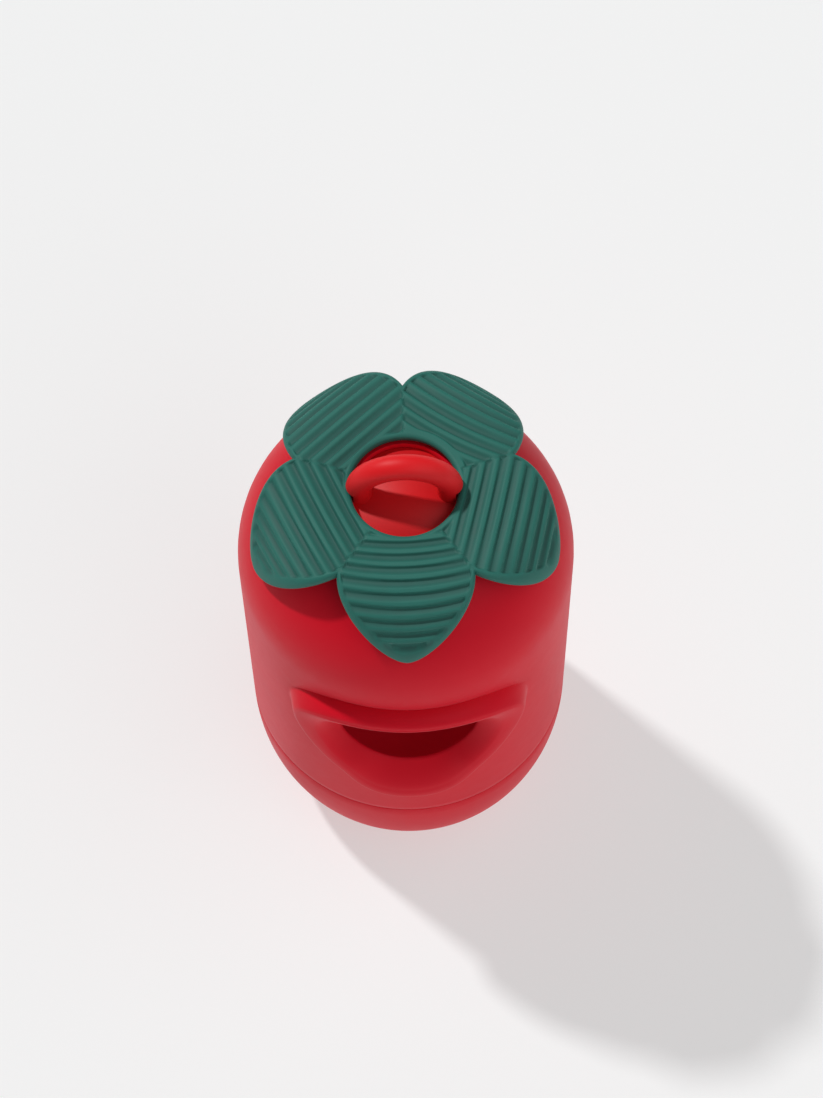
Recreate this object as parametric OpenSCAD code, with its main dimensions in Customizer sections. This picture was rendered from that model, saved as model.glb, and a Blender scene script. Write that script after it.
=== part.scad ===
// Berry-shaped treat dispensing shaker: a hollow shell with a lipped mouth in its front wall,
// a hanging loop and a soft leaf collar on top, and a weighted base that plugs into the shell.
// Z = 0 is the foot's face, Z is the axis of the round body, and the mouth faces -Y.

/* [Body] */
// Outside diameter of the round body
body_d = 64; // [62:0.5:66]
// Height of the body without the loop
body_h = 112.4; // [112:0.2:114]
// Wall thickness of the shell and the base
wall = 2.4; // [2:0.1:2.6]
// Height at which the bowl reaches full width
bowl_h = 27; // [25:0.5:28]
// Height at which the dome begins
dome_z = 85.3; // [84.5:0.1:86]
// Squareness of the dome, 2 is an ellipse
dome_power = 2.2; // [2:0.02:2.3]
// Height of the parting line between the base and the shell
parting_z = 30.3; // [30:0.1:31]

/* [Foot] */
// Diameter of the flat under the bowl
foot_flat_d = 38; // [36:1:40]
// Diameter of the soft foot pad
foot_pad_d = 34; // [30:1:35]
// Thickness of the foot pad
foot_pad_t = 2; // [1.6:0.1:2.4]
// How far the foot pad stands out of its pocket
foot_pad_proud = 0.5; // [0.3:0.1:0.8]

/* [Mouth] */
// Radius of the dispensing hole
hole_r = 13.4; // [12:0.2:14]
// Height of the centre of the dispensing hole
hole_z = 66.8; // [66:0.2:68]
// Half width of the lip
lip_half_w = 22.2; // [21:0.2:23]
// Height at which the lip is widest
lip_z = 69.4; // [69:0.2:70]
// Rise of the upper lip above its widest height
lip_rise = 13.8; // [13:0.2:14.4]
// Drop of the lower lip below its widest height
lip_drop = 24.8; // [22:0.2:25]
// How far the lip stands out of the wall
lip_proud = 2.6; // [2:0.1:3]

/* [Loop] */
// Radius of the loop's centre line
loop_r = 8.5; // [8:0.1:8.7]
// Thickness of the loop's round bar
loop_bar_d = 4.74; // [4:0.02:5]
// Height of the loop's centre
loop_z = 112.8; // [112:0.1:114]
// Radius of the plug below the loop
plug_r = 9.4; // [9:0.1:9.5]

/* [Leaf collar] */
// Number of leaves
leaves = 5; // [4:1:6]
// Distance from the axis to a leaf's tip
leaf_reach = 29.9; // [28:0.1:30.5]
// Distance from the axis to the notch between two leaves
leaf_notch = 21.4; // [20:0.1:22]
// Thickness of a leaf
leaf_t = 2.2; // [1.8:0.1:2.4]
// Fall of the collar from its hole to a leaf's tip
leaf_fall = 11.3; // [11:0.1:12]

/* [Weight and beads] */
// Diameter of the steel weight
ballast_d = 37; // [30:1:38]
// Thickness of the steel weight
ballast_t = 7; // [4:0.5:7]
// Diameter of a rattle bead
bead_d = 5; // [3:0.5:6]
// Number of rattle beads
beads = 6; // [3:1:8]

/* [Hidden] */
$fn = 96;

// Small gaps and cutting margins
eps = 0.05;
seam = 0.2;
slip = 0.15;
cut = 1;

// Body profile
body_r = body_d / 2;
inner_r = body_r - wall;
foot_flat_r = foot_flat_d / 2;
dome_h = body_h - dome_z;
profile_steps = 18;
cup_bottom_z = foot_pad_proud;
pad_top_z = foot_pad_t;
floor_t = 2.2;
floor_z = pad_top_z + floor_t;
pad_gap = 0.1;

// Spigot: the part of the base that plugs into the shell
spigot_r = inner_r - slip;
spigot_t = 2.85;
spigot_h = 7.7;
spigot_edge = 0.5;
spigot_bore_r = spigot_r - spigot_t;
spigot_top_z = parting_z + spigot_h;
seal_bar_r = 0.8;
seal_rise = 3.8;
seal_z = parting_z + seal_rise;
seal_r = inner_r - eps - seal_bar_r;
groove_r = seal_r - seal_bar_r - eps;
groove_h = 2 * seal_bar_r + 4 * eps;

// Posts that carry the ballast cover and the chamber floor
posts = 3;
post_turn = 60;
post_r = 2.8;
post_at_r = 23.4;
post_top_z = 33;
pilot_r = 1.25;
pilot_deep = 8;
tip_gap = 0.5;
post_gap = 0.3;
ballast_gap = 0.3;
ballast_seat_r = ballast_d / 2 + ballast_gap;
ballast_lift = 0.1;
ballast_z = floor_z + ballast_lift;
ballast_rib_t = 1.4;
ballast_rib_h = 3;
cover_z = ballast_z + ballast_t;
cover_t = 1.6;
cover_r = spigot_bore_r - slip;
chamber_floor_t = 2;
bead_at_r = 12;
bead_z = cover_z + cover_t + bead_d / 2 + eps;

// Screws
floor_screw_r = 1.2;
floor_screw_head_r = 2.6;
floor_screw_head_h = 1.6;
floor_screw_len = pilot_deep;
floor_screw_z = post_top_z + chamber_floor_t;
loop_screw_r = 1.5;
loop_screw_head_r = 3.2;
loop_screw_head_h = 2.2;
slot_w = 0.8;
slot_deep = 0.8;

// Top of the shell, where the loop's plug sits
boss_r = 12;
boss_bottom_z = body_h - 8.4;
seat_z = body_h - 4.2;
stem_r = 3.8;
neck_gap = 0.3;
washer_r = 8;
washer_t = 1.2;
loop_screw_top_z = body_h - 1.8;

// Lip and mouth
lip_power = 2.4;
lip_steps = 40;
lip_r = body_r + lip_proud;
funnel_slope = 1.233;
funnel_in_y = body_r - 3.4;
funnel_len = lip_r + 2 - funnel_in_y;
brow_r = 33;
brow_z = 79.2 - brow_r;
hole_drop = 1.8;

// Leaf collar
collar_hole_r = 9.9;
collar_top_z = 113.6;
collar_rim_t = 1.8;
collar_rim_w = 5;
collar_steps = 12;
collar_power = 3.9;
leaf_step_a = 360 / leaves;
leaf_base_p = leaf_notch * cos(leaf_step_a / 2);
leaf_half_w = leaf_notch * sin(leaf_step_a / 2);
leaf_power = 1.3;
leaf_steps = 20;

// Radius of the bowl's outside at height z
function bowl_r(z) = foot_flat_r
    + (body_r - foot_flat_r) * sqrt(1 - pow((bowl_h - z) / bowl_h, 2));

// Outline of a superellipse dome of radius r and height h that starts at height z
function dome(r, h, z) = [for (i = [0 : profile_steps])
    let (a = 90 * i / profile_steps)
    [r * pow(cos(a), 2 / dome_power), z + h * pow(sin(a), 2 / dome_power)]];

// Heights spaced closely at the bottom of the bowl, where it curves most
function bowl_heights(from) = [for (i = [0 : profile_steps])
    from + (bowl_h - from) * pow(i / profile_steps, 2)];

// Height and thickness of the collar at distance r from the axis
function collar_z(r) = collar_top_z
    - leaf_fall * pow(max(r - collar_hole_r, 0) / (leaf_reach - collar_hole_r), collar_power);
function collar_t(r) = collar_rim_t
    + (leaf_t - collar_rim_t) * min(1, (r - collar_hole_r) / collar_rim_w);

// Outline of the lip: a round lower edge and a flatter, wider upper one
function lip_outline() = concat(
    [for (i = [0 : lip_steps])
        let (a = 180 * i / lip_steps, c = cos(a))
        [sign(c) * lip_half_w * pow(abs(c), 2 / lip_power),
         lip_z + lip_rise * pow(sin(a), 2 / lip_power)]],
    [for (i = [1 : lip_steps - 1])
        let (a = 180 + 180 * i / lip_steps)
        [lip_half_w * cos(a), lip_z + lip_drop * sin(a)]]);

// Outline of one leaf, from notch to notch round its tip, in its own direction
function leaf_outline() = [for (i = [0 : leaf_steps])
    let (a = 180 * i / leaf_steps, c = cos(a))
    [leaf_base_p + (leaf_reach - leaf_base_p) * sin(a),
     -sign(c) * leaf_half_w * pow(abs(c), leaf_power)]];

// Sweeps a flat shape, drawn as X and Z, along Y from -far to -near
module along_y(near, far) {
    translate([0, -near, 0]) rotate([90, 0, 0]) linear_extrude(far - near) children();
}

// Round bar, from height z, of length h
module bar(r, z, h) {
    translate([0, 0, z]) cylinder(r = r, h = h);
}

// Copies round the axis, the first one turned from the front
module ring_of(count, r, turn = 0) {
    for (i = [0 : count - 1])
        rotate(i * 360 / count - 90 + turn) translate([r, 0, 0]) children();
}

module outer_body_solid() {
    rotate_extrude() polygon(concat([[0, 0]], [[body_r, 0]], dome(body_r, dome_h, dome_z)));
}

module base_cup() {
    outer = concat([for (z = bowl_heights(cup_bottom_z)) [bowl_r(z), z]],
        [[body_r, parting_z], [spigot_r, parting_z], [spigot_r, spigot_top_z - spigot_edge],
         [spigot_r - spigot_edge, spigot_top_z]]);
    inner = [for (z = bowl_heights(floor_z)) [min(bowl_r(z) - wall, spigot_bore_r), z]];
    color("crimson") difference() {
        union() {
            difference() {
                rotate_extrude() polygon(concat([[0, cup_bottom_z]], outer, [[0, spigot_top_z]]));
                rotate_extrude() polygon(concat([[0, floor_z]], inner,
                    [[spigot_bore_r, spigot_top_z + cut], [0, spigot_top_z + cut]]));
            }
            intersection() {
                ring_of(posts, post_at_r, post_turn) bar(post_r, floor_z - cut, post_top_z - floor_z + cut);
                rotate_extrude() polygon(concat([[0, cup_bottom_z]], outer, [[0, spigot_top_z]]));
            }
            difference() {
                bar(ballast_seat_r + ballast_rib_t, floor_z - cut / 2, ballast_rib_h + cut / 2);
                bar(ballast_seat_r, floor_z - cut, ballast_rib_h + 2 * cut);
            }
        }
        ring_of(posts, post_at_r, post_turn)
            bar(pilot_r, post_top_z - pilot_deep - tip_gap, pilot_deep + cut);
        bar(foot_pad_d / 2 + pad_gap, -cut, pad_top_z + cut);
        difference() {
            bar(body_r, seal_z - groove_h / 2, groove_h);
            bar(groove_r, seal_z - groove_h, 2 * groove_h);
        }
    }
}

module foot_pad() {
    edge = 0.6;
    color("dimgray") rotate_extrude() polygon([[0, 0], [foot_pad_d / 2 - edge, 0],
        [foot_pad_d / 2, edge], [foot_pad_d / 2, pad_top_z], [0, pad_top_z]]);
}

module ballast_weight() {
    color("gray") bar(ballast_d / 2, ballast_z, ballast_t);
}

module ballast_cover() {
    color("darkred") difference() {
        bar(cover_r, cover_z, cover_t);
        ring_of(posts, post_at_r, post_turn) bar(post_r + post_gap, cover_z - cut, cover_t + 2 * cut);
    }
}

module chamber_floor() {
    color("firebrick") difference() {
        bar(cover_r, post_top_z, chamber_floor_t);
        ring_of(posts, post_at_r, post_turn)
            bar(pilot_r + slip, post_top_z - cut, chamber_floor_t + 2 * cut);
    }
}

// Pan head screw with a slot, head on top at height z
module screw(r, len, head_r, head_h) {
    difference() {
        union() {
            bar(r, -len, len + eps);
            bar(head_r, 0, head_h);
        }
        translate([-head_r - cut, -slot_w / 2, head_h - slot_deep])
            cube([2 * (head_r + cut), slot_w, slot_deep + cut]);
    }
}

module floor_screws() {
    color("silver") ring_of(posts, post_at_r, post_turn) translate([0, 0, floor_screw_z])
        screw(floor_screw_r, floor_screw_len, floor_screw_head_r, floor_screw_head_h);
}

module seal_ring() {
    color("black") rotate_extrude() translate([seal_r, seal_z]) circle(seal_bar_r);
}

module rattle_beads() {
    color("silver") ring_of(beads, bead_at_r) translate([0, 0, bead_z]) sphere(d = bead_d);
}

// Everything that is cut away between the lip's face and the inside of the shell
module mouth_cut() {
    intersection() {
        translate([0, -funnel_in_y, hole_z]) rotate([90, 0, 0])
            cylinder(r1 = hole_r, r2 = hole_r + funnel_len * funnel_slope, h = funnel_len);
        along_y(funnel_in_y, lip_r + 2 + cut) translate([0, brow_z]) circle(brow_r);
    }
    along_y(body_r / 2, funnel_in_y + eps) intersection() {
        translate([0, hole_z]) circle(hole_r);
        translate([0, brow_z - hole_drop]) circle(brow_r);
    }
}

module upper_shell() {
    low_z = parting_z + seam;
    color("red") difference() {
        union() {
            difference() {
                rotate_extrude() polygon(concat([[0, low_z], [body_r, low_z]],
                    dome(body_r, dome_h, dome_z)));
                rotate_extrude() polygon(concat([[0, low_z - cut], [inner_r, low_z - cut]],
                    dome(inner_r, dome_h - wall, dome_z)));
            }
            intersection() {
                bar(boss_r, boss_bottom_z, body_h - boss_bottom_z);
                outer_body_solid();
            }
            intersection() {
                difference() {
                    bar(lip_r, parting_z, dome_z - parting_z);
                    bar(inner_r + wall / 2, parting_z - cut, dome_z);
                }
                along_y(0, lip_r + cut) polygon(lip_outline());
            }
        }
        mouth_cut();
        bar(plug_r + slip, seat_z, body_h);
        bar(stem_r + slip, boss_bottom_z - cut, body_h);
    }
}

module hanging_loop() {
    bar_r = loop_bar_d / 2;
    neck_z = collar_top_z + neck_gap;
    color("red") difference() {
        union() {
            intersection() {
                translate([0, 0, loop_z]) rotate([90, 0, 0]) rotate_extrude()
                    translate([loop_r, 0]) circle(bar_r);
                union() {
                    bar(loop_r + bar_r + cut, neck_z, loop_r + bar_r + cut);
                    bar(plug_r, seat_z + cut, neck_z - seat_z);
                }
            }
            intersection() {
                bar(plug_r, seat_z, body_h - seat_z);
                outer_body_solid();
            }
            bar(stem_r, boss_bottom_z + slip, seat_z - boss_bottom_z);
        }
        bar(loop_screw_r + eps, boss_bottom_z - cut, loop_screw_top_z + tip_gap - boss_bottom_z + cut);
    }
}

module loop_washer() {
    color("silver") difference() {
        bar(washer_r, boss_bottom_z - washer_t, washer_t);
        bar(loop_screw_r + slip, boss_bottom_z - washer_t - cut, washer_t + 2 * cut);
    }
}

module loop_screw() {
    color("silver") translate([0, 0, boss_bottom_z - washer_t]) mirror([0, 0, 1])
        screw(loop_screw_r, loop_screw_top_z - boss_bottom_z + washer_t,
            loop_screw_head_r, loop_screw_head_h);
}

module leaf_collar() {
    radii = [for (i = [0 : collar_steps])
        collar_hole_r + (leaf_reach + cut - collar_hole_r) * i / collar_steps];
    color("seagreen") intersection() {
        rotate_extrude() polygon(concat([for (r = radii) [r, collar_z(r)]],
            [for (i = [collar_steps : -1 : 0]) [radii[i], collar_z(radii[i]) - collar_t(radii[i])]]));
        union() {
            bar(leaf_base_p, 0, loop_z + leaf_reach);
            for (k = [0 : leaves - 1]) rotate(k * leaf_step_a - 90)
                linear_extrude(loop_z + leaf_reach)
                    polygon(concat([[0, 0]], leaf_outline()));
        }
    }
}

base_cup();
foot_pad();
ballast_weight();
ballast_cover();
chamber_floor();
floor_screws();
seal_ring();
rattle_beads();
upper_shell();
hanging_loop();
loop_washer();
loop_screw();
leaf_collar();
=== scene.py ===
"""Berry-shaped treat shaker: shell with a rolled lip, weighted base, ribbed leaf collar, hanging loop."""

import math
from functools import partial

import bmesh
import bpy
from bpy.props import FloatProperty, FloatVectorProperty, IntProperty, PointerProperty
from mathutils import Matrix, Vector


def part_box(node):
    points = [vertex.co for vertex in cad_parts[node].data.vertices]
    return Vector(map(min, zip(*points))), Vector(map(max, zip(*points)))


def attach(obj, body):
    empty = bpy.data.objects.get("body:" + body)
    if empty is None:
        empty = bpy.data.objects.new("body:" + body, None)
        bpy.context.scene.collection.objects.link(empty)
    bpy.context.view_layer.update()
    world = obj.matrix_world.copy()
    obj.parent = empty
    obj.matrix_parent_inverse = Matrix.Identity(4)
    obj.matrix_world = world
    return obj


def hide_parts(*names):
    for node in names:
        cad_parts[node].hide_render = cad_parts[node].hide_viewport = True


bl_info = {
    "name": "Treat Shaker",
    "version": (1, 0, 0),
    "blender": (4, 5, 0),
    "location": "View3D > Sidebar > Shaker",
    "description": "Models a berry-shaped treat shaker around its packed frame",
    "category": "Object",
}

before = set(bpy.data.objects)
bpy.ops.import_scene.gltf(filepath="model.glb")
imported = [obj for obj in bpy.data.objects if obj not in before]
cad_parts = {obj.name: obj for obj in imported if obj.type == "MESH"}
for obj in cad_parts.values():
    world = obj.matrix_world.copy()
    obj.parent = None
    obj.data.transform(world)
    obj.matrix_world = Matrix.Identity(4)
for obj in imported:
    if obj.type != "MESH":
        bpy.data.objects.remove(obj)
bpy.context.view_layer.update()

MM = 0.001

# Main sizes, in millimetres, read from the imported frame
CUP_LOW, CUP_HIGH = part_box("base_cup")
SHELL_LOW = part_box("upper_shell")[0]
LOOP_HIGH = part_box("hanging_loop")[1]
BODY_R = CUP_HIGH.x / MM
PARTING_Z = SHELL_LOW.z / MM
LIP_PROUD = -SHELL_LOW.y / MM - BODY_R
LOOP_OUT_R = LOOP_HIGH.x / MM
CUP_BOTTOM_Z = CUP_LOW.z / MM
SPIGOT_TOP_Z = CUP_HIGH.z / MM


def length(name, text, value):
    """A length property that is given in millimetres."""
    return FloatProperty(name=name, description=text, default=value * MM, unit="LENGTH", precision=4)


def colour(name, text, value):
    """A linear RGB colour property."""
    return FloatVectorProperty(name=name, description=text, default=value, subtype="COLOR",
                               min=0, max=1)


class ShakerBody(bpy.types.PropertyGroup):
    """Sizes of the round body and its mouth."""

    wall: length("Wall", "Thickness of the shell's wall", 2.4)
    foot_flat: length("Foot flat", "Radius of the flat under the bowl", 19)
    bowl_height: length("Bowl height", "Height at which the bowl is full width", 27)
    dome_start: length("Dome start", "Height at which the dome begins", 85.3)
    body_height: length("Body height", "Height of the dome's top", 112.4)
    dome_power: FloatProperty(name="Dome power", description="Squareness of the dome", default=2.2)
    lip_half_width: length("Lip half width", "Half the width of the rolled lip", 22)
    lip_height: length("Lip height", "Height at which the lip is widest", 69.4)
    hole_radius: length("Hole radius", "Radius of the dispensing hole", 13.4)
    hole_height: length("Hole height", "Height of the hole's centre", 66.8)


class ShakerLeaf(bpy.types.PropertyGroup):
    """Sizes of the ribbed leaf collar."""

    leaves: IntProperty(name="Leaves", description="Number of leaves", default=5, min=3)
    hole: length("Hole", "Radius of the collar's hole", 9.9)
    reach: length("Reach", "Distance from the axis to a leaf's tip", 29.9)
    notch: length("Notch", "Distance from the axis to the notch between leaves", 21.4)
    fall: length("Fall", "How far a leaf's tip lies below the hole", 11.3)
    thickness: length("Thickness", "Thickness of a leaf", 2.2)
    rib_pitch: length("Rib pitch", "Distance from rib to rib along the leaf", 2.5)
    rib_depth: length("Rib depth", "Depth of the valleys between the ribs", 0.6)


class ShakerColours(bpy.types.PropertyGroup):
    """Colours of the finishes, linear RGB."""

    body: colour("Body", "Soft-touch red of the shell and the base", (0.76, 0.006, 0.021))
    loop: colour("Loop", "Bright satin red of the loop", (0.80, 0.009, 0.014))
    leaf: colour("Leaf", "Green of the ribs", (0.022, 0.175, 0.140))
    # The valley colour is darker than the rib colour: painted shade in the grooves between the ribs.
    valley: colour("Valley", "Greyer green between the ribs", (0.026, 0.112, 0.094))
    rubber: colour("Rubber", "Dark grey of the foot pad", (0.035, 0.036, 0.040))
    seal: colour("Seal", "Black of the seal ring", (0.012, 0.012, 0.013))
    inner: colour("Inner plastic", "Plain red inside the base", (0.34, 0.020, 0.028))
    steel: colour("Steel", "Grey of the screws and the weight", (0.56, 0.56, 0.58))
    floor: colour("Floor", "Pale surface under the shaker", (0.488, 0.496, 0.496))


# ---------------------------------------------------------------- curves and profiles

ROUND_POWER = 2.2


def mix(a, b, t):
    """The value or point between a and b at t."""
    return a + (b - a) * t


def ease(t):
    """Smooth step from 0 to 1."""
    t = min(1.0, max(0.0, t))
    return t * t * (3 - 2 * t)


def steps(count, first=1):
    """Even fractions up to 1, from the first one of count."""
    return [k / count for k in range(first, count + 1)]


def outside_r(s, z):
    """Radius of the body's outside at height z, all in millimetres."""
    bowl, flat, dome = s.bowl_height / MM, s.foot_flat / MM, s.dome_start / MM
    if z < bowl:
        return flat + (BODY_R - flat) * math.sqrt(max(0, 1 - ((bowl - z) / bowl) ** 2))
    if z <= dome:
        return BODY_R
    rise = min(1, (z - dome) / (s.body_height / MM - dome))
    return BODY_R * (1 - rise ** s.dome_power) ** (1 / s.dome_power)


def inside_r(s, z):
    """Radius of the shell's inside at height z."""
    wall, dome = s.wall / MM, s.dome_start / MM
    if z <= dome:
        return BODY_R - wall
    rise = min(1, (z - dome) / (s.body_height / MM - dome - wall))
    return (BODY_R - wall) * (1 - rise ** s.dome_power) ** (1 / s.dome_power)


def dome_arc(radius, height, start, power, inner_r, count):
    """Points of a dome's outline from its foot up to where its radius is inner_r."""
    last = math.acos((inner_r / radius) ** (power / 2))
    turns = [last * k / count for k in range(1, count + 1)]
    return [(radius * math.cos(a) ** (2 / power), start + height * math.sin(a) ** (2 / power))
            for a in turns]


def oval(half_w, up, down, power_up, power_down, centre_z, a):
    """Point of a lip or hole outline at angle a about its centre, as front view X and Z.

    The last quarter of the way down gets rounder, so that the outline doesn't come to a point.
    """
    tall, power = up, power_up
    if math.sin(a) < 0:
        tall, power = down, mix(power_down, ROUND_POWER, max(0, -4 * math.sin(a) - 3) ** 2)
    r = ((abs(math.cos(a)) / half_w) ** power + (abs(math.sin(a)) / tall) ** power) ** (-1 / power)
    return Vector((r * math.cos(a), centre_z + r * math.sin(a)))


# ---------------------------------------------------------------- mesh tools

MERGE_DISTANCE = 0.002 * MM


def start_piece(name, adder, **options):
    """Adds a primitive with nothing else selected, names it and goes into edit mode."""
    if bpy.context.object and bpy.context.object.mode != "OBJECT":
        bpy.ops.object.mode_set(mode="OBJECT")
    bpy.ops.object.select_all(action="DESELECT")
    adder(**options)
    piece = bpy.context.object
    piece.name = piece.data.name = name
    bpy.ops.object.mode_set(mode="EDIT")
    return piece


def select_only(piece):
    """Selects one piece and makes it the active one."""
    bpy.ops.object.select_all(action="DESELECT")
    piece.select_set(True)
    bpy.context.view_layer.objects.active = piece


def place_corners(piece, points):
    """Moves a new ring's corners to the points, and remembers each corner's number."""
    mesh = bmesh.from_edit_mesh(piece.data)
    mesh.verts.ensure_lookup_table()
    number = mesh.verts.layers.int.new("corner")
    for i, point in enumerate(points):
        mesh.verts[i][number] = i
        mesh.verts[i].co = Vector(point) * MM
    bmesh.update_edit_mesh(piece.data)


def extrude_to(piece, points):
    """Extrudes the selected ring and moves each new corner to its own point."""
    bpy.ops.mesh.extrude_region_move()
    mesh = bmesh.from_edit_mesh(piece.data)
    number = mesh.verts.layers.int["corner"]
    for corner in mesh.verts:
        if corner.select:
            corner.co = Vector(points[corner[number]]) * MM
    bmesh.update_edit_mesh(piece.data)


def ring_piece(name, rings):
    """A tube through rings of points, made by extruding the first ring again and again."""
    piece = start_piece(name, bpy.ops.mesh.primitive_circle_add, vertices=len(rings[0]))
    place_corners(piece, rings[0])
    bpy.ops.mesh.select_all(action="SELECT")
    for ring in rings[1:]:
        extrude_to(piece, ring)
    bpy.ops.object.mode_set(mode="OBJECT")
    return piece


def spun_piece(name, profile, count=192):
    """A body of revolution: a closed ring is moved to the profile and spun about the axis."""
    piece = start_piece(name, bpy.ops.mesh.primitive_circle_add, vertices=len(profile))
    place_corners(piece, [(0, -r, z) for r, z in profile])
    bpy.ops.mesh.select_all(action="SELECT")
    bpy.ops.mesh.spin(steps=count, angle=math.tau, center=(0, 0, 0), axis=(0, 0, 1))
    close_piece()
    return piece


def close_piece():
    """In edit mode, merges corners that meet and turns all faces outwards, then leaves edit mode."""
    bpy.ops.mesh.select_all(action="SELECT")
    bpy.ops.mesh.remove_doubles(threshold=MERGE_DISTANCE)
    bpy.ops.mesh.normals_make_consistent(inside=False)
    bpy.ops.object.mode_set(mode="OBJECT")


def bent_sheet(name, columns, rows, shape):
    """A grid whose corners are moved to shape(u, v), with u and v from 0 to 1."""
    piece = start_piece(name, bpy.ops.mesh.primitive_grid_add, size=2,
                        x_subdivisions=columns, y_subdivisions=rows)
    mesh = bmesh.from_edit_mesh(piece.data)
    for corner in mesh.verts:
        u, v = (corner.co.x + 1) / 2, (corner.co.y + 1) / 2
        corner.co = Vector(shape(u, v)) * MM
    bmesh.update_edit_mesh(piece.data)
    bpy.ops.object.mode_set(mode="OBJECT")
    return piece


def join(pieces, name):
    """Joins pieces into the first one, merges what meets and turns the faces outwards."""
    bpy.ops.object.select_all(action="DESELECT")
    for piece in pieces:
        piece.select_set(True)
    bpy.context.view_layer.objects.active = pieces[0]
    if len(pieces) > 1:
        bpy.ops.object.join()
    whole = bpy.context.object
    whole.name = whole.data.name = name
    bpy.ops.object.mode_set(mode="EDIT")
    close_piece()
    return whole


def turned_copy(piece, angle):
    """A copy with its own mesh, turned about the body's axis."""
    copy = piece.copy()
    copy.data = piece.data.copy()
    copy.data.transform(Matrix.Rotation(angle, 4, "Z"))
    bpy.context.collection.objects.link(copy)
    return copy


def unite(piece, other):
    """Blends another closed piece into this one and removes it."""
    select_only(piece)
    union = piece.modifiers.new("Union", "BOOLEAN")
    union.operation = "UNION"
    union.solver = "EXACT"
    union.object = other
    bpy.ops.object.modifier_apply(modifier=union.name)
    bpy.data.objects.remove(other)


def smooth(piece, angle):
    """Smooth shading that keeps the edges sharper than the angle."""
    select_only(piece)
    bpy.ops.object.shade_smooth_by_angle(angle=math.radians(angle))


def finish_piece(piece, body, slot, material, *nodes):
    """Gives a piece its finish, its body and the frame's nodes that it stands for."""
    coat(piece, material)
    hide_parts(*nodes)
    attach(piece, body)


def coat(piece, material):
    """Gives a piece one of the finishes, by name."""
    piece.data.materials.clear()
    piece.data.materials.append(bpy.data.materials[material])


# ---------------------------------------------------------------- shader tools

class Value:
    """A number socket that Python's operators work on: each one adds a Math node."""

    def __init__(self, look, socket):
        self.look, self.socket = look, socket

    def math(self, operation, *values):
        made = self.look.node("ShaderNodeMath", {"operation": operation},
                              **{str(i): v for i, v in enumerate((self, *values))})
        return Value(self.look, made.outputs[0])

    def __add__(self, other):
        return self.math("ADD", other)

    def __mul__(self, other):
        return self.math("MULTIPLY", other)

    def __sub__(self, other):
        return self.math("SUBTRACT", other)

    def __rsub__(self, other):
        return (self * -1) + other

    __radd__ = __add__
    __rmul__ = __mul__

    def clamp(self):
        made = self.look.node("ShaderNodeClamp", Value=self)
        return Value(self.look, made.outputs[0])


class Look:
    """A material under construction."""

    def __init__(self, name):
        self.material = bpy.data.materials.new(name)
        self.material.use_nodes = True
        self.tree = self.material.node_tree
        self.shader = self.tree.nodes["Principled BSDF"]
        self.place = self.node("ShaderNodeTexCoord").outputs["Object"]

    def node(self, kind, settings=None, **inputs):
        """Adds a node, sets it, then fills its sockets with links or values."""
        made = self.tree.nodes.new(kind)
        for key, value in (settings or {}).items():
            setattr(made, key, value)
        for key, value in inputs.items():
            self.fill(made.inputs[int(key) if key.isdigit() else key.replace("_", " ")], value)
        return made

    def fill(self, socket, value):
        """Links a socket to another one, or sets its value."""
        if isinstance(value, Value):
            value = value.socket
        if isinstance(value, bpy.types.NodeSocket):
            self.tree.links.new(value, socket)
        else:
            socket.default_value = value

    def set(self, **inputs):
        """Fills the main shader's sockets."""
        for key, value in inputs.items():
            self.fill(self.shader.inputs[key.replace("_", " ")], value)

    def noise(self, scale, detail=3, roughness=0.5, where=None):
        """Noise from 0 to 1, with scale in patches per metre."""
        made = self.node("ShaderNodeTexNoise", Vector=where or self.place, Scale=scale,
                         Detail=detail, Roughness=roughness)
        return Value(self, made.outputs["Fac"])

    def height(self):
        """Height above the floor in metres, from the piece's own coordinates."""
        return Value(self, self.node("ShaderNodeSeparateXYZ", Vector=self.place).outputs["Z"])

    def stretched(self, x, y, z):
        """Object coordinates scaled by a different factor on each axis."""
        return self.node("ShaderNodeMapping", Vector=self.place, Scale=(x, y, z)).outputs[0]

    def attribute(self, name):
        """A number stored on the piece's own mesh."""
        made = self.node("ShaderNodeAttribute", {"attribute_name": name})
        return Value(self, made.outputs["Fac"])

    def blend(self, amount, first, second):
        """Mixes two colours."""
        made = self.node("ShaderNodeMix", {"data_type": "RGBA"})
        self.fill(made.inputs[0], amount)
        for socket, value in ((made.inputs[6], first), (made.inputs[7], second)):
            self.fill(socket, (*value, 1) if isinstance(value, tuple) else value)
        return made.outputs[2]

    def bump(self, height, strength, depth):
        """Bump from a height from 0 to 1 that stands for depth metres."""
        made = self.node("ShaderNodeBump", Height=height, Strength=strength, Distance=depth)
        return made.outputs["Normal"]


def shade(rgb, factor):
    """A darker or lighter tone of a colour."""
    return tuple(min(1.0, c * factor) for c in rgb)


def soft_touch_red(rgb):
    """Matte soft-touch coating: faint clouds of tone, fine grain and a pale sheen at the edges."""
    look = Look("soft_touch_red")
    clouds = look.noise(60, 2)
    grain = look.noise(2600, 2)
    rub = look.noise(420, 4, 0.6)
    look.set(
        Base_Color=look.blend(clouds, shade(rgb, 0.94), shade(rgb, 1.06)),
        Roughness=rub * 0.10 + 0.44,
        Specular_IOR_Level=0.12,
        Specular_Tint=(0.92, 0.86, 1, 1),
        Sheen_Weight=0.075,
        Sheen_Roughness=0.35,
        Sheen_Tint=(1.0, 0.8, 0.92, 1),
        Normal=look.bump(grain * 0.6 + rub * 0.4, 0.25, 0.05 * MM),
    )
    return look.material


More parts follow.
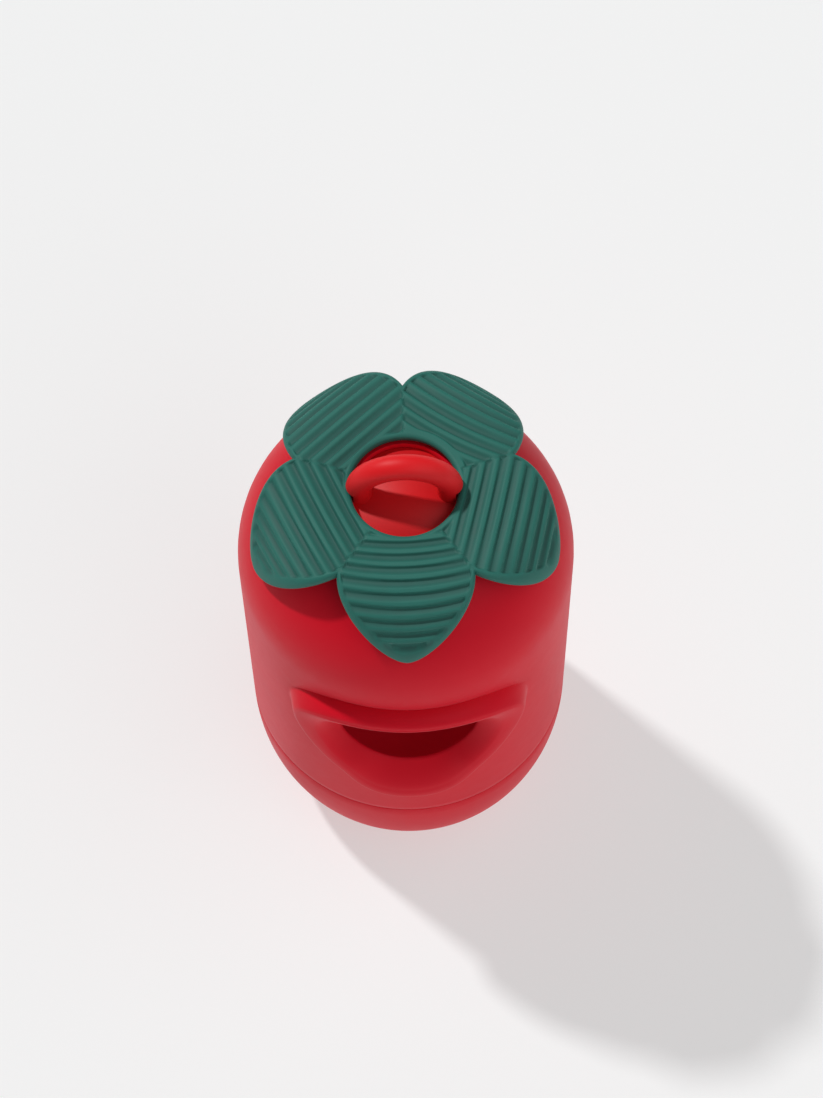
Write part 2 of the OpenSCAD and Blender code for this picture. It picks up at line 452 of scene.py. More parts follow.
def satin_red(rgb):
    """Bright satin moulding of the loop, with painted light and shade: lighter up on the ring, darker low on
    the cap.
    """
    look = Look("satin_red")
    clouds = look.noise(120, 2)
    # Painted light and shade by height: a darker copy of the red low on the cap, a lighter copy up on the
    # ring.
    painted_light_by_height = ((look.height() - 0.1115) * 350).clamp()
    grain = look.noise(1800, 3)
    look.set(
        Base_Color=look.blend(painted_light_by_height, look.blend(clouds, shade(rgb, 0.80), shade(rgb, 0.86)),
                              look.blend(clouds, shade(rgb, 1.06), shade(rgb, 1.14))),
        Roughness=grain * 0.08 + 0.46,
        Specular_IOR_Level=0.3,
        Normal=look.bump(grain, 0.2, 0.04 * MM),
    )
    return look.material


def leaf_rubber(crest, valley):
    """Matte soft rubber: greener on the ribs, and darker and greyer in the valleys as painted shade."""
    look = Look("leaf_rubber")
    height = look.attribute("rib")
    mottle = look.noise(380, 4, 0.6)
    grain = look.noise(3000, 2)
    # Painted shade: the darker valley colour is blended in where the rib height is low, in the grooves.
    base = look.blend((height + (mottle - 0.5) * 0.3).clamp(), valley, crest)
    tone = look.blend(mottle, shade(valley, 0.9), shade(crest, 1.1))
    look.set(
        Base_Color=look.blend(0.18, base, tone),
        Roughness=mottle * 0.12 + 0.56,
        Specular_IOR_Level=0.35,
        Normal=look.bump(grain * 0.5 + mottle * 0.5, 0.3, 0.06 * MM),
    )
    return look.material


def plain_rubber(name, rgb, rough):
    """Dark rubber with a fine grain and paler dust in patches."""
    look = Look(name)
    dust = look.noise(300, 4, 0.6)
    grain = look.noise(2200, 3)
    look.set(
        Base_Color=look.blend(dust, shade(rgb, 0.8), shade(rgb, 1.5)),
        Roughness=dust * 0.15 + rough,
        Normal=look.bump(grain, 0.3, 0.05 * MM),
    )
    return look.material


def inner_plastic(rgb):
    """Plain moulded plastic of the parts inside, with faint flow marks."""
    look = Look("inner_plastic")
    flow = look.noise(90, 3, 0.5, look.stretched(1, 1, 6))
    grain = look.noise(1500, 2)
    look.set(
        Base_Color=look.blend(flow, shade(rgb, 0.88), shade(rgb, 1.1)),
        Roughness=grain * 0.1 + 0.42,
        Normal=look.bump(grain, 0.15, 0.04 * MM),
    )
    return look.material


def chamber_plastic(rgb):
    """The treat chamber's red plastic, with painted light: a faint red emission makes it glow though no lamp
    lights it.
    """
    look = Look("chamber_plastic")
    flow = look.noise(90, 3, 0.5, look.stretched(1, 1, 6))
    look.set(
        Base_Color=look.blend(flow, shade(rgb, 0.9), shade(rgb, 1.05)),
        Roughness=flow * 0.1 + 0.45,
        # Painted light: this emission makes the chamber glow.
        Emission_Color=(*shade(rgb, 0.10), 1),
        Emission_Strength=1.0,
        Normal=look.bump(look.noise(1500, 2), 0.15, 0.04 * MM),
    )
    return look.material


def turned_steel(rgb):
    """Steel with fine turning lines and a little tarnish."""
    look = Look("turned_steel")
    lines = look.noise(900, 3, 0.6, look.stretched(0.3, 0.3, 8))
    tarnish = look.noise(260, 4, 0.6)
    look.set(
        Base_Color=look.blend(tarnish, shade(rgb, 0.82), shade(rgb, 1.08)),
        Metallic=1.0,
        Roughness=lines * 0.18 + 0.24,
        Normal=look.bump(lines, 0.2, 0.03 * MM),
    )
    return look.material


FLOOR_GLOW = 0.478


def pale_floor(rgb):
    """Matte paper-like surface."""
    look = Look("pale_floor")
    fibres = look.noise(700, 4, 0.6)
    look.set(
        Base_Color=look.blend(fibres, shade(rgb, 0.995), shade(rgb, 1.005)),
        Roughness=0.9,
        Specular_IOR_Level=0.0,
        Emission_Color=(1, 1, 1, 1),
        Emission_Strength=FLOOR_GLOW,
    )
    return look.material


# ---------------------------------------------------------------- shell

COLUMNS = 192
# The window in the wall that the mouth fills: columns to each side of the front, heights, rows
WINDOW_COLUMNS = 30
WINDOW_LOW, WINDOW_HIGH = 38.0, 92.0
WINDOW_ROWS = 27
PLAIN_ROWS = (32, 34, 36)
# The boss under the dome's top, with the seat and the hole for the loop's plug
PLUG_GAP_R = 9.55
SEAT_Z = 108.2
STEM_HOLE_R = 3.95
BOSS_R = 12.0
BOSS_Z = 104.0
# The small chamfer on both sides of the parting line
EDGE = 0.14
# Outlines round the mouth: what each adds to the lip's half width, its rise and drop from the
# lip's widest height, and the squareness of its upper and lower half
CREASE = (0.9, 12.2, 25.8, 2.5, 1.55)
RIM = (0.1, 9.9, 25.0, 2.6, 1.52)
CROWN = (-0.4, 9.4, 24.5, 2.6, 1.52)
FUNNEL_TOP = (-3.4, 9.0, 22.4, 2.4, 1.62)
THROAT_RISE, THROAT_POWERS = 9.7, (2.6, 2.0)
CREASE_DEEP = 0.8
RIM_PROUD, FUNNEL_TOP_PROUD = 0.94, 0.84
THROAT_DEEP = 0.3
FUNNEL_POWER = 1.45


def window_heights():
    """Heights of the corners beside the window that the mouth fills."""
    return [mix(WINDOW_LOW, WINDOW_HIGH, k / WINDOW_ROWS) for k in range(WINDOW_ROWS + 1)]


def shell_profile(s):
    """Closed outline of the shell's wall, as radius and height, round from the outer rim."""
    power, dome = s.dome_power, s.dome_start / MM
    wall, top = s.wall / MM, s.body_height / MM
    rows = window_heights()
    arc = dome_arc(BODY_R, top - dome, dome, power, PLUG_GAP_R + 0.2, 36)
    out = [(BODY_R - EDGE, PARTING_Z), (BODY_R - EDGE * 0.3, PARTING_Z + EDGE * 0.3),
           (BODY_R, PARTING_Z + EDGE)]
    out += [(BODY_R, z) for z in PLAIN_ROWS]
    out += [(outside_r(s, z), z) for z in rows] + [p for p in arc if p[1] > WINDOW_HIGH + 1]
    out += [(PLUG_GAP_R, arc[-1][1] - 0.2), (PLUG_GAP_R, SEAT_Z), (STEM_HOLE_R, SEAT_Z),
            (STEM_HOLE_R, BOSS_Z + 0.3), (STEM_HOLE_R + 0.3, BOSS_Z), (BOSS_R - 0.4, BOSS_Z),
            (BOSS_R, BOSS_Z + 0.4)]
    inner_dome = dome_arc(BODY_R - wall, top - wall - dome, dome, power, BOSS_R, 24)
    out += [p for p in reversed(inner_dome) if p[1] > WINDOW_HIGH + 0.5]
    out += [(inside_r(s, z), z) for z in reversed(rows)]
    out += [(BODY_R - wall, z) for z in reversed(PLAIN_ROWS)]
    out += [(BODY_R - wall, PARTING_Z + 0.6), (BODY_R - wall + 0.4, PARTING_Z)]
    return out


def window_ring():
    """Angle round the axis and height of each corner on the window's border, in order."""
    turn = math.tau / COLUMNS
    rows, wide = window_heights(), WINDOW_COLUMNS
    ring = [(k * turn, rows[0]) for k in range(-wide, wide)]
    ring += [(wide * turn, z) for z in rows[:-1]]
    ring += [(k * turn, rows[-1]) for k in range(wide, -wide, -1)]
    ring += [(-wide * turn, z) for z in reversed(rows[1:])]
    return ring


def on_wall(point, r):
    """Puts a front view point on the cylinder of radius r, at the front."""
    x = max(-r * 0.999, min(r * 0.999, point.x))
    return (x, -math.sqrt(r * r - x * x), point.y)


def mouth_rings(s):
    """Rings of corners from the window's border over the lip, down the funnel and back inside."""
    wide, mid = s.lip_half_width / MM, s.lip_height / MM
    hole, hole_z, wall = s.hole_radius / MM, s.hole_height / MM, s.wall / MM
    crease, rim, crown, funnel = [partial(oval, wide + grow, *form, mid)
                                  for grow, *form in (CREASE, RIM, CROWN, FUNNEL_TOP)]
    throat = partial(oval, hole, THROAT_RISE, hole, *THROAT_POWERS, hole_z)
    border = window_ring()
    start = [Vector((outside_r(s, z) * math.sin(a), z)) for a, z in border]
    turns = [math.atan2(p.y - mid, p.x) for p in start]
    inner = [Vector((inside_r(s, z) * math.sin(a), z)) for a, z in border]

    def ring(first, second, t, proud):
        """Corners between two outlines; proud is a number, or a rule of how far up a corner is."""
        made = []
        for i, a in enumerate(turns):
            one = first[i] if isinstance(first, list) else first(a)
            point = mix(one, second(a), t)
            stands = proud(max(0, math.sin(a))) if callable(proud) else proud
            made.append(on_wall(point, outside_r(s, point.y) + stands))
        return made

    def flare(t):
        """How proud the lip's outer side is: steep at the sides, a round roll above the mouth."""
        return lambda up: (LIP_PROUD * RIM_PROUD * mix(ease(t), (t * (2 - t)) ** 0.5, ease(up * 1.6))
                           - CREASE_DEEP * ease(up * 1.4) * (1 - t) ** 2)

    rings = [ring(start, crease, t, lambda up, t=t: -CREASE_DEEP * ease(up * 1.4) * t ** 6)
             for t in steps(9, 0)]
    rings += [ring(crease, rim, t, flare(t)) for t in steps(10)]
    rings += [ring(rim, crown, t, LIP_PROUD * mix(RIM_PROUD, 1, math.sin(t * math.pi / 2)))
              for t in steps(4)]
    rings += [ring(crown, funnel, t, LIP_PROUD * mix(1, FUNNEL_TOP_PROUD, t ** 2)) for t in steps(7)]
    high, deep = LIP_PROUD * FUNNEL_TOP_PROUD, THROAT_DEEP - wall
    rings += [ring(funnel, throat, t, mix(high, deep, t ** FUNNEL_POWER)) for t in steps(16)]
    rings += [ring(throat, throat, 0, -wall)]
    for t in steps(8):
        flat = [mix(throat(a), inner[i], t) for i, a in enumerate(turns)]
        rings.append([on_wall(point, inside_r(s, point.y)) for point in flat])
    return rings


def cut_window(piece):
    """Opens the wall where the mouth goes."""
    bpy.context.view_layer.objects.active = piece
    bpy.ops.object.mode_set(mode="EDIT")
    bpy.ops.mesh.select_all(action="DESELECT")
    mesh = bmesh.from_edit_mesh(piece.data)
    half = WINDOW_COLUMNS * math.tau / COLUMNS
    for face in mesh.faces:
        c = face.calc_center_median() / MM
        turn = math.atan2(c.x, -c.y)
        if abs(turn) < half and WINDOW_LOW < c.z < WINDOW_HIGH and c.xy.length > BODY_R * 0.8:
            face.select_set(True)
    bmesh.update_edit_mesh(piece.data)
    bpy.ops.mesh.delete(type="FACE")
    bpy.ops.object.mode_set(mode="OBJECT")


class SHAKER_OT_shell(bpy.types.Operator):
    """Spin the shell's wall and fill its window with the rolled lip and the funnel"""

    bl_idname = "shaker.shell"
    bl_label = "Shell"

    def execute(self, context):
        sizes = context.scene.shaker_body
        wall = spun_piece("shell_wall", shell_profile(sizes), COLUMNS)
        cut_window(wall)
        mouth = ring_piece("shell_mouth", mouth_rings(sizes))
        shell = join([wall, mouth], "shell_skin")
        smooth(shell, 50)
        finish_piece(shell, "upper", "body", "soft_touch_red", "upper_shell")
        return {"FINISHED"}


# ---------------------------------------------------------------- base

# The spigot that plugs into the shell, and the seal's groove in it
SPIGOT_R = 29.45
SPIGOT_BORE_R = 26.6
GROOVE_R = 27.9
GROOVE_LOW, GROOVE_HIGH = 33.2, 35.0
RIM_Z = 30.3
# The cup's floor, the pad's pocket under it and the rib round the weight on it
CUP_FLOOR_Z = 4.2
PAD_POCKET_R = 17.1
PAD_POCKET_Z = 2.0
RIB_IN_R, RIB_OUT_R = 18.8, 20.2
RIB_TOP_Z = 7.2
# The three posts for the floor's screws, with their pilot holes and tapered feet
POST_TURNS = (60, 180, 300)
POST_R = 2.8
POST_AT_R = 23.4
POST_TOP_Z = 33.0
POST_TAPER_Z = 5.4
POST_FOOT_R = 1.8
PILOT_R = 1.25
PILOT_Z = 24.5


def cup_profile(s):
    """Closed outline of the base cup, from the pad's pocket up the outside and down the inside."""
    wall = s.wall / MM
    rise = [CUP_BOTTOM_Z + (s.bowl_height / MM - CUP_BOTTOM_Z) * (k / 30) ** 2 for k in range(31)]
    first = outside_r(s, rise[0])
    out = [(0, PAD_POCKET_Z), (PAD_POCKET_R, PAD_POCKET_Z), (PAD_POCKET_R, CUP_BOTTOM_Z + 0.2),
           (PAD_POCKET_R + 0.2, CUP_BOTTOM_Z), (first - 0.5, CUP_BOTTOM_Z)]
    out += [(outside_r(s, z), z) for z in rise[1:]]
    out += [(BODY_R, RIM_Z - EDGE), (BODY_R - EDGE * 0.3, RIM_Z - EDGE * 0.3), (BODY_R - EDGE, RIM_Z),
            (SPIGOT_R + 0.3, RIM_Z), (SPIGOT_R, RIM_Z + 0.3)]
    out += [(SPIGOT_R, GROOVE_LOW), (GROOVE_R, GROOVE_LOW), (GROOVE_R, GROOVE_HIGH), (SPIGOT_R, GROOVE_HIGH)]
    out += [(SPIGOT_R, SPIGOT_TOP_Z - 0.7), (SPIGOT_R - 0.5, SPIGOT_TOP_Z),
            (SPIGOT_BORE_R + 0.3, SPIGOT_TOP_Z), (SPIGOT_BORE_R, SPIGOT_TOP_Z - 0.3)]
    inside = [CUP_FLOOR_Z + (s.bowl_height / MM - CUP_FLOOR_Z) * (k / 16) ** 2 for k in range(17)]
    out += [(min(outside_r(s, z) - wall, SPIGOT_BORE_R), z) for z in reversed(inside)]
    out += [(RIB_OUT_R, CUP_FLOOR_Z), (RIB_OUT_R, RIB_TOP_Z), (RIB_IN_R, RIB_TOP_Z), (RIB_IN_R, CUP_FLOOR_Z)]
    out += [(0, CUP_FLOOR_Z)]
    return out


def post():
    """A screw post with its pilot hole, spun on the axis and moved to the front."""
    foot_z = CUP_FLOOR_Z - 0.1
    outline = [(PILOT_R, PILOT_Z), (PILOT_R, POST_TOP_Z - 0.2), (PILOT_R + 0.2, POST_TOP_Z),
               (POST_R - 0.2, POST_TOP_Z), (POST_R, POST_TOP_Z - 0.2), (POST_R, POST_TAPER_Z),
               (POST_FOOT_R, foot_z), (0, foot_z), (0, PILOT_Z)]
    piece = spun_piece("post", outline, 32)
    piece.data.transform(Matrix.Translation((0, -POST_AT_R * MM, 0)))
    return piece


class SHAKER_OT_base(bpy.types.Operator):
    """Spin the base cup with its plug, groove and screw posts"""

    bl_idname = "shaker.base"
    bl_label = "Base"

    def execute(self, context):
        sizes = context.scene.shaker_body
        cup = spun_piece("cup", cup_profile(sizes), COLUMNS)
        first = post()
        posts = [turned_copy(first, math.radians(a)) for a in POST_TURNS[1:]]
        first.data.transform(Matrix.Rotation(math.radians(POST_TURNS[0]), 4, "Z"))
        cup = join([cup, first, *posts], "cup_skin")
        smooth(cup, 35)
        finish_piece(cup, "base", "body", "soft_touch_red", "base_cup")
        return {"FINISHED"}


# ---------------------------------------------------------------- leaf collar

# Rows of a leaf's closed sheet over the top, round the edge, back underneath and up in the hole
TOP_ROWS, EDGE_ROWS, UNDER_ROWS, HOLE_ROWS = 150, 8, 10, 6
LEAF_COLUMNS = 80
COLLAR_TOP_Z = 113.6
COLLAR_FALL_POWER = 3.9
HOLE_THICKNESS = 1.8
LEAF_POWER = 1.3
LEAF_FLATNESS = 0.7
# The steps of the table that measures the way along a curved leaf
RUN_STEP, RUN_COUNT = 0.1, 500
# Sides of a rib's profile: where each starts and how wide it is, in pitches, and its rise
RIB_SIDES = ((0.13, 0.20, -1), (0.33, 0.35, 0.25), (0.56, 0.34, 0.75))
FIRST_RIB = 0.75
# The smooth rim along a leaf's outline, from the notches to the tip over its run
RIM_WIDE, RIM_NARROW, RIM_RUN = 0.6, 0.15, 9
# Height of the seam between two leaves, where 1 is a rib's top
SEAM_HEIGHT = 0.7
# For each leaf: swell of its two sides, bow and slant of its ribs, smooth width beside the hole
LEAF_FORMS = ((0.25, 0.15, 0.0105, 0.02, 0), (1.1, -0.2, 0.001, 0.08, 0.1), (0, 1.0, -0.008, 0.08, 0.9),
              (0.9, 0.1, 0.0, 0.12, 0), (0.2, 0.9, 0.002, 0.13, 0))


class LeafShape:
    """One leaf of the collar in its own direction: p runs out along it and q across it."""

    def __init__(self, leaf, form):
        self.swell, self.bow, self.slant, self.ring = form[:2], form[2], form[3], form[4]
        self.hole, self.reach, self.notch = leaf.hole / MM, leaf.reach / MM, leaf.notch / MM
        self.fall, self.thick = leaf.fall / MM, leaf.thickness / MM
        self.pitch, self.depth = leaf.rib_pitch / MM, leaf.rib_depth / MM
        self.half = math.pi / leaf.leaves
        self.base_p = self.notch * math.cos(self.half)
        self.half_w = self.notch * math.sin(self.half)
        self.run = [0.0]
        for k in range(1, RUN_COUNT):
            p = k * RUN_STEP
            drop = self.top(Vector((p, 0))) - self.top(Vector((p - RUN_STEP, 0)))
            self.run.append(self.run[-1] + math.hypot(RUN_STEP, drop))

    def outward(self, flat):
        """How far out a point is, from 0 at the hole to 1 at the leaf's tip."""
        out = mix(flat.length, flat.x, LEAF_FLATNESS) - self.hole
        return max(0, out) / (self.reach - self.hole)

    def top(self, flat):
        """Height of the collar's smooth upper face over a point."""
        return COLLAR_TOP_Z - self.fall * self.outward(flat) ** COLLAR_FALL_POWER

    def carve(self, flat, depth):
        """Point that lies depth under the smooth upper face, square to it."""
        out = self.outward(flat)
        slope = COLLAR_FALL_POWER * self.fall / (self.reach - self.hole) * out ** (COLLAR_FALL_POWER - 1)
        square = math.hypot(1, slope)
        inward = flat.normalized() * (depth * slope / square)
        return (*(flat - inward), self.top(flat) - depth / square)

    def rim(self, u):
        """Point of the leaf's outline, u from 0 at one notch to 1 at the other."""
        a = math.pi * u
        c = math.cos(a)
        q = -math.copysign(self.half_w * abs(c) ** LEAF_POWER, c)
        p = self.base_p + (self.reach - self.base_p) * math.sin(a)
        out = self.swell[c < 0] * abs(math.sin(2 * a)) * 0.7
        return Vector((p + out, q + math.copysign(out, q)))

    def hole_point(self, u):
        """Point of the hole's edge, u from 0 to 1 across the leaf."""
        a = mix(-self.half, self.half, u)
        return Vector((math.cos(a), math.sin(a))) * self.hole

    def along(self, p):
        """Distance along the curved leaf to p."""
        k = min(len(self.run) - 2, max(0, int(p / RUN_STEP)))
        return mix(self.run[k], self.run[k + 1], p / RUN_STEP - k)

    def rim_gap(self, point):
        """Rough distance from a point to the leaf's outline or to its neighbour."""
        p, q = point.x, abs(point.y)
        r = point.length
        side = r * math.sin(max(0, self.half - math.atan2(q, p)))
        if p <= self.base_p:
            return side
        across = min(1, (q / self.half_w)) ** (1 / LEAF_POWER)
        edge_p = self.base_p + (self.reach - self.base_p) * math.sqrt(max(0, 1 - across ** 2))
        sin_a = min(1, (p - self.base_p) / (self.reach - self.base_p))
        edge_q = self.half_w * (1 - sin_a ** 2) ** (LEAF_POWER / 2)
        dp, dq = max(1e-6, edge_p - p), max(1e-6, edge_q - q)
        return dp * dq / math.hypot(dp, dq)

    def rib(self, point):
        """Height of the ribbing at a point: 1 on a rib or the smooth rim, 0 in a valley."""
        p, q = point.x, point.y
        turn = (self.along(p + self.bow * q * q + self.slant * q) / self.pitch - self.phase()) % 1
        ridge = min(1, 1 + sum(rise * ease((turn - start) / width) for start, width, rise in RIB_SIDES))
        on_leaf = ease((p - self.base_p + 1.2) / 1.4)
        border = on_leaf * mix(RIM_WIDE, RIM_NARROW, ease((p - self.base_p) / RIM_RUN))
        fade = ease((self.rim_gap(point) - border) / mix(0.35, 0.4, on_leaf))
        ribbed = mix(mix(SEAM_HEIGHT, 1, on_leaf), ridge, fade)
        hole_gap = point.length - self.hole - HOLE_THICKNESS / 2
        return mix(1, ribbed, ease((hole_gap - self.ring * fade) / 0.6))

    def phase(self):
        """Rib count at the hole, so that a rib lies just outside it."""
        return self.along(self.hole + FIRST_RIB) / self.pitch

    def point(self, u, v):
        """Corner of the closed sheet: over the top, round the edge, back underneath."""
        row = v * (TOP_ROWS + EDGE_ROWS + UNDER_ROWS + HOLE_ROWS)
        start, end = self.hole_point(u), self.rim(u)
        out = (end - start).normalized()
        half_t, hole_t = self.thick / 2, HOLE_THICKNESS / 2
        if row <= TOP_ROWS:
            t = row / TOP_ROWS
            flat = mix(start + out * hole_t, end - out * half_t, t)
            return self.carve(flat, self.depth * (1 - self.rib(flat)))
        if row <= TOP_ROWS + EDGE_ROWS:
            a = math.pi * (row - TOP_ROWS) / EDGE_ROWS
            flat = end - out * half_t * (1 - math.sin(a))
            z = self.top(flat) - half_t * (1 - math.cos(a))
        elif row <= TOP_ROWS + EDGE_ROWS + UNDER_ROWS:
            t = (row - TOP_ROWS - EDGE_ROWS) / UNDER_ROWS
            flat = mix(end - out * half_t, start + out * hole_t, t)
            near = ease((flat.length - self.hole) / 5)
            z = self.top(flat) - mix(HOLE_THICKNESS, self.thick, near)
        else:
            a = math.pi * (row - TOP_ROWS - EDGE_ROWS - UNDER_ROWS) / HOLE_ROWS
            flat = start + out * hole_t * (1 - math.sin(a))
            z = self.top(flat) - hole_t * (1 + math.cos(a))
        return (flat.x, flat.y, z)


def store_ribs(piece, shape):
    """Writes the rib height at each corner to the mesh, for the finish, which uses it to paint shade into
    the valleys.
    """
    ribs = piece.data.attributes.new("rib", "FLOAT", "POINT")
    for corner, value in zip(piece.data.vertices, ribs.data):
        flat = corner.co.xy / MM
        under = corner.co.z / MM < shape.top(flat) - shape.depth * 1.6
        value.value = 0.6 if under else shape.rib(flat)


class SHAKER_OT_leaf(bpy.types.Operator):
    """Bend one ribbed leaf from a sheet and copy it round the collar"""

    bl_idname = "shaker.leaf"
    bl_label = "Leaf collar"

    def execute(self, context):
        sizes = context.scene.shaker_leaf
        rows = TOP_ROWS + EDGE_ROWS + UNDER_ROWS + HOLE_ROWS
        turn = math.tau / sizes.leaves
        parts = []
        for k in range(sizes.leaves):
            shape = LeafShape(sizes, LEAF_FORMS[k % len(LEAF_FORMS)])
            leaf = bent_sheet("leaf", LEAF_COLUMNS, rows, shape.point)
            store_ribs(leaf, shape)
            leaf.data.transform(Matrix.Rotation(turn * k - math.pi / 2, 4, "Z"))
            parts.append(leaf)
        collar = join(parts, "leaf_skin")
        smooth(collar, 60)
        finish_piece(collar, "leaf", "leaf", "leaf_rubber", "leaf_collar")
        return {"FINISHED"}


# ---------------------------------------------------------------- loop

# The ring, and where its legs are necked in below the ledge
LOOP_BAR_R = 2.37
LOOP_CENTRE_Z = 112.8
LEDGE_Z = 113.9
LEG_REACH = 9.38
# The plug, its cap and its stem with the screw's hole
PLUG_R = 9.4
CAP_FALL = 2.0
CAP_STEP = 1.2
STEM_R = 3.8
STEM_Z = 104.15
SCREW_HOLE_R = 1.55
SCREW_HOLE_TOP_Z = 111.1


def plug_profile(s):
    """Closed outline of the plug: domed like the body, with a drilled stem below."""
    out = [(0, SCREW_HOLE_TOP_Z), (SCREW_HOLE_R, SCREW_HOLE_TOP_Z), (SCREW_HOLE_R, STEM_Z), (STEM_R, STEM_Z),
           (STEM_R, SEAT_Z), (PLUG_R, SEAT_Z)]
    top = s.body_height / MM
    radii = [PLUG_R] + [k * CAP_STEP for k in range(7, -1, -1)]
    return out + [(r, top - CAP_FALL * (r / PLUG_R) ** 2) for r in radii]


def pinch_legs(piece):
    """Necks the legs in to pass the collar's hole, and ends the ring inside the plug."""
    for corner in piece.data.vertices:
        x, z = corner.co.x / MM, corner.co.z / MM
        if z < LEDGE_Z and abs(x) > LEG_REACH:
            corner.co.x = math.copysign(LEG_REACH, x) * MM
        low = SCREW_HOLE_TOP_Z + 0.3 if abs(x) < 2 * SCREW_HOLE_R else SEAT_Z + 1
        corner.co.z = max(z, low) * MM


class SHAKER_OT_loop(bpy.types.Operator):
    """Add the loop's ring and plug and blend them into one moulding"""

    bl_idname = "shaker.loop"
    bl_label = "Hanging loop"

    def execute(self, context):
        sizes = context.scene.shaker_body
        ring = start_piece(
            "loop_ring", bpy.ops.mesh.primitive_torus_add,
            major_radius=(LOOP_OUT_R - LOOP_BAR_R) * MM, minor_radius=LOOP_BAR_R * MM,
            major_segments=160, minor_segments=64,
            location=(0, 0, LOOP_CENTRE_Z * MM), rotation=(math.pi / 2, 0, 0))
        bpy.ops.object.mode_set(mode="OBJECT")
        bpy.ops.object.transform_apply(location=True, rotation=True, scale=True)
        pinch_legs(ring)
        plug = spun_piece("loop_plug", plug_profile(sizes), 128)
        unite(ring, plug)
        whole = join([ring], "loop_skin")
        smooth(whole, 35)
        finish_piece(whole, "upper", "loop", "satin_red", "hanging_loop")
        return {"FINISHED"}


# ---------------------------------------------------------------- pieces kept from the frame

KEPT = {
    "foot_pad": "foot_rubber",
    "seal_ring": "seal_rubber",
    "ballast_cover": "inner_plastic",
    "chamber_floor": "chamber_plastic",
    "ballast_weight": "turned_steel",
    "floor_screws": "turned_steel",
    "rattle_beads": "turned_steel",
    "loop_washer": "turned_steel",
    "loop_screw": "turned_steel",
}


class SHAKER_OT_kept(bpy.types.Operator):
    """Give the frame's own pieces their finishes"""

    bl_idname = "shaker.kept"
    bl_label = "Inner pieces"

    def execute(self, context):
        for name, material in KEPT.items():
            coat(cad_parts[name], material)
        return {"FINISHED"}


class SHAKER_OT_finishes(bpy.types.Operator):
    """Make the node materials of all pieces"""

    bl_idname = "shaker.finishes"
    bl_label = "Finishes"

    def execute(self, context):
        tones = context.scene.shaker_colours
        soft_touch_red(tuple(tones.body))
        satin_red(tuple(tones.loop))
        leaf_rubber(tuple(tones.leaf), tuple(tones.valley))
        plain_rubber("foot_rubber", tuple(tones.rubber), 0.6)
        plain_rubber("seal_rubber", tuple(tones.seal), 0.4)
        inner_plastic(tuple(tones.inner))
        chamber_plastic(tuple(tones.body))
        turned_steel(tuple(tones.steel))
        pale_floor(tuple(tones.floor))
        return {"FINISHED"}


# ---------------------------------------------------------------- stage

FLOOR_SIZE = 60.0
# Distant lights: name, strength, direction counted from +X, height over the floor, softness
LIGHTS = (
    ("key_light", 1.9, 138.8, 53.4, 4.0),
    ("fill_light", 0.60, -50.0, 38.0, 50.0),
    ("side_light", 0.30, 5.0, 50.0, 50.0),
)
SKY_STRENGTH = 0.14
# The camera: angles in degrees, distance and target in metres, lens and sensor in millimetres
CAMERA_HEIGHT = 64.96
CAMERA_ROLL = -1.129
CAMERA_DISTANCE = 0.6157
CAMERA_TARGET = (0.00108, 0, 0.08627)
CAMERA_LENS = 105.98
SENSOR = 36.0


def aim(height, turn=0.0):
    """Direction from above at an angle over the horizon, looking along +Y turned about Z."""
    h, t = math.radians(height), math.radians(turn)
    return Vector((math.sin(t) * math.cos(h), math.cos(t) * math.cos(h), -math.sin(h)))


def add_sun(name, strength, turn, height, angle):
    """A distant light that stands in the direction turn, counted from +X, at a height."""
    bpy.ops.object.light_add(type="SUN")
    sun = bpy.context.object
    sun.name = name
    sun.data.energy = strength
    sun.data.angle = math.radians(angle)
    falls = aim(height, -90 - turn)
    sun.matrix_world = falls.to_track_quat("-Z", "Y").to_matrix().to_4x4()


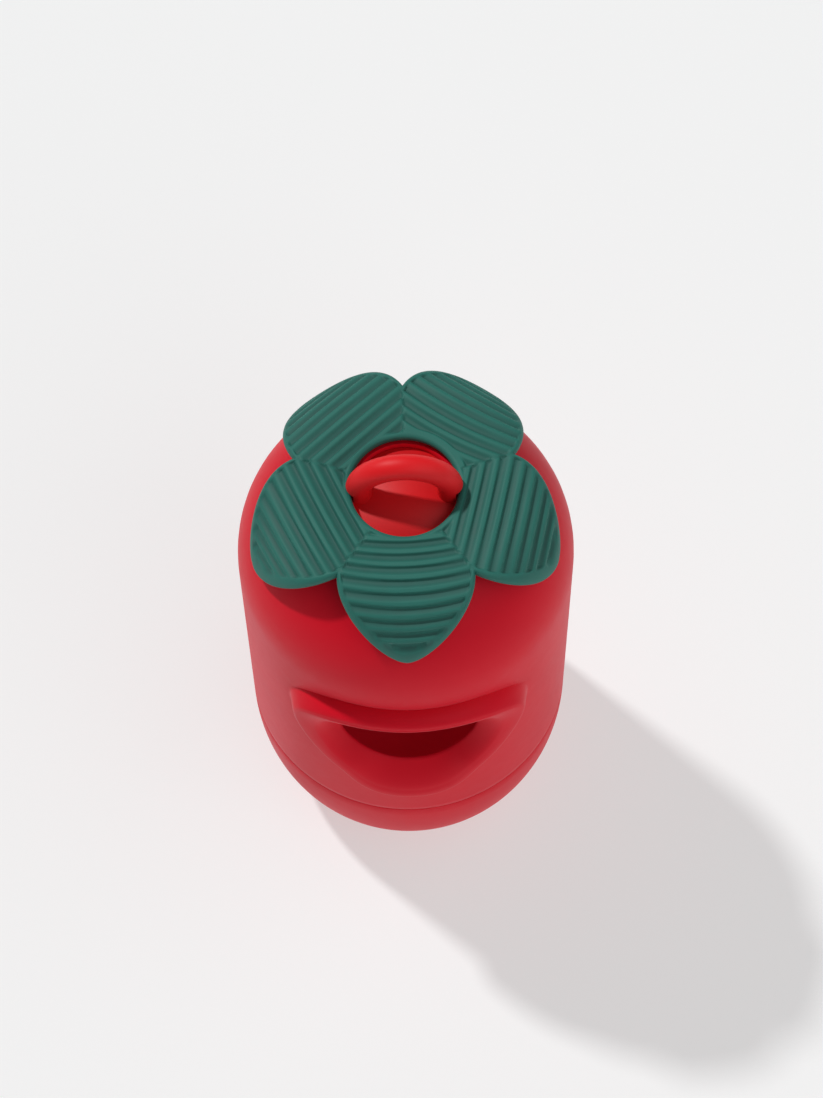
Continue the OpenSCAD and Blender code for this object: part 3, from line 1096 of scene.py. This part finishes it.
class SHAKER_OT_stage(bpy.types.Operator):
    """Lay the pale floor and set the camera and the lights"""

    bl_idname = "shaker.stage"
    bl_label = "Stage"

    def execute(self, context):
        scene = context.scene
        look = aim(CAMERA_HEIGHT)
        bpy.ops.object.camera_add()
        camera = context.object
        camera.name = "camera"
        camera.data.lens = CAMERA_LENS
        camera.data.sensor_width = SENSOR
        camera.data.clip_start = 0.01
        turn = look.to_track_quat("-Z", "Y").to_matrix().to_4x4()
        roll = Matrix.Rotation(math.radians(CAMERA_ROLL), 4, "Z")
        where = Matrix.Translation(Vector(CAMERA_TARGET) - look * CAMERA_DISTANCE)
        camera.matrix_world = where @ turn @ roll
        scene.camera = camera

        for light in LIGHTS:
            add_sun(*light)

        floor = start_piece("floor", bpy.ops.mesh.primitive_plane_add, size=FLOOR_SIZE)
        bpy.ops.object.mode_set(mode="OBJECT")
        coat(floor, "pale_floor")

        world = scene.world or bpy.data.worlds.new("studio")
        scene.world = world
        world.use_nodes = True
        sky = world.node_tree.nodes["Background"]
        sky.inputs["Color"].default_value = (1, 1, 1, 1)
        sky.inputs["Strength"].default_value = SKY_STRENGTH
        scene.view_settings.view_transform = "Standard"
        return {"FINISHED"}


# ---------------------------------------------------------------- add-on

class SHAKER_PT_pieces(bpy.types.Panel):
    """Buttons for every group of pieces"""

    bl_label = "Treat shaker"
    bl_space_type = "VIEW_3D"
    bl_region_type = "UI"
    bl_category = "Shaker"

    def draw(self, context):
        for group in (context.scene.shaker_body, context.scene.shaker_leaf,
                      context.scene.shaker_colours):
            box = self.layout.box()
            for name in group.bl_rna.properties.keys():
                if name not in ("rna_type", "name"):
                    box.prop(group, name)
        for operator in OPERATORS:
            self.layout.operator(operator.bl_idname)


GROUPS = (ShakerBody, ShakerLeaf, ShakerColours)
OPERATORS = (SHAKER_OT_finishes, SHAKER_OT_stage, SHAKER_OT_shell, SHAKER_OT_base,
             SHAKER_OT_leaf, SHAKER_OT_loop, SHAKER_OT_kept)


def register():
    for item in (*GROUPS, *OPERATORS, SHAKER_PT_pieces):
        bpy.utils.register_class(item)
    bpy.types.Scene.shaker_body = PointerProperty(type=ShakerBody)
    bpy.types.Scene.shaker_leaf = PointerProperty(type=ShakerLeaf)
    bpy.types.Scene.shaker_colours = PointerProperty(type=ShakerColours)


def unregister():
    del bpy.types.Scene.shaker_colours
    del bpy.types.Scene.shaker_leaf
    del bpy.types.Scene.shaker_body
    for item in reversed((*GROUPS, *OPERATORS, SHAKER_PT_pieces)):
        bpy.utils.unregister_class(item)


def main():
    """Registers the add-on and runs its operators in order."""
    register()
    bpy.ops.shaker.finishes()
    bpy.ops.shaker.stage()
    bpy.ops.shaker.shell()
    bpy.ops.shaker.base()
    bpy.ops.shaker.leaf()
    bpy.ops.shaker.loop()
    bpy.ops.shaker.kept()


if __name__ == "__main__":
    main()
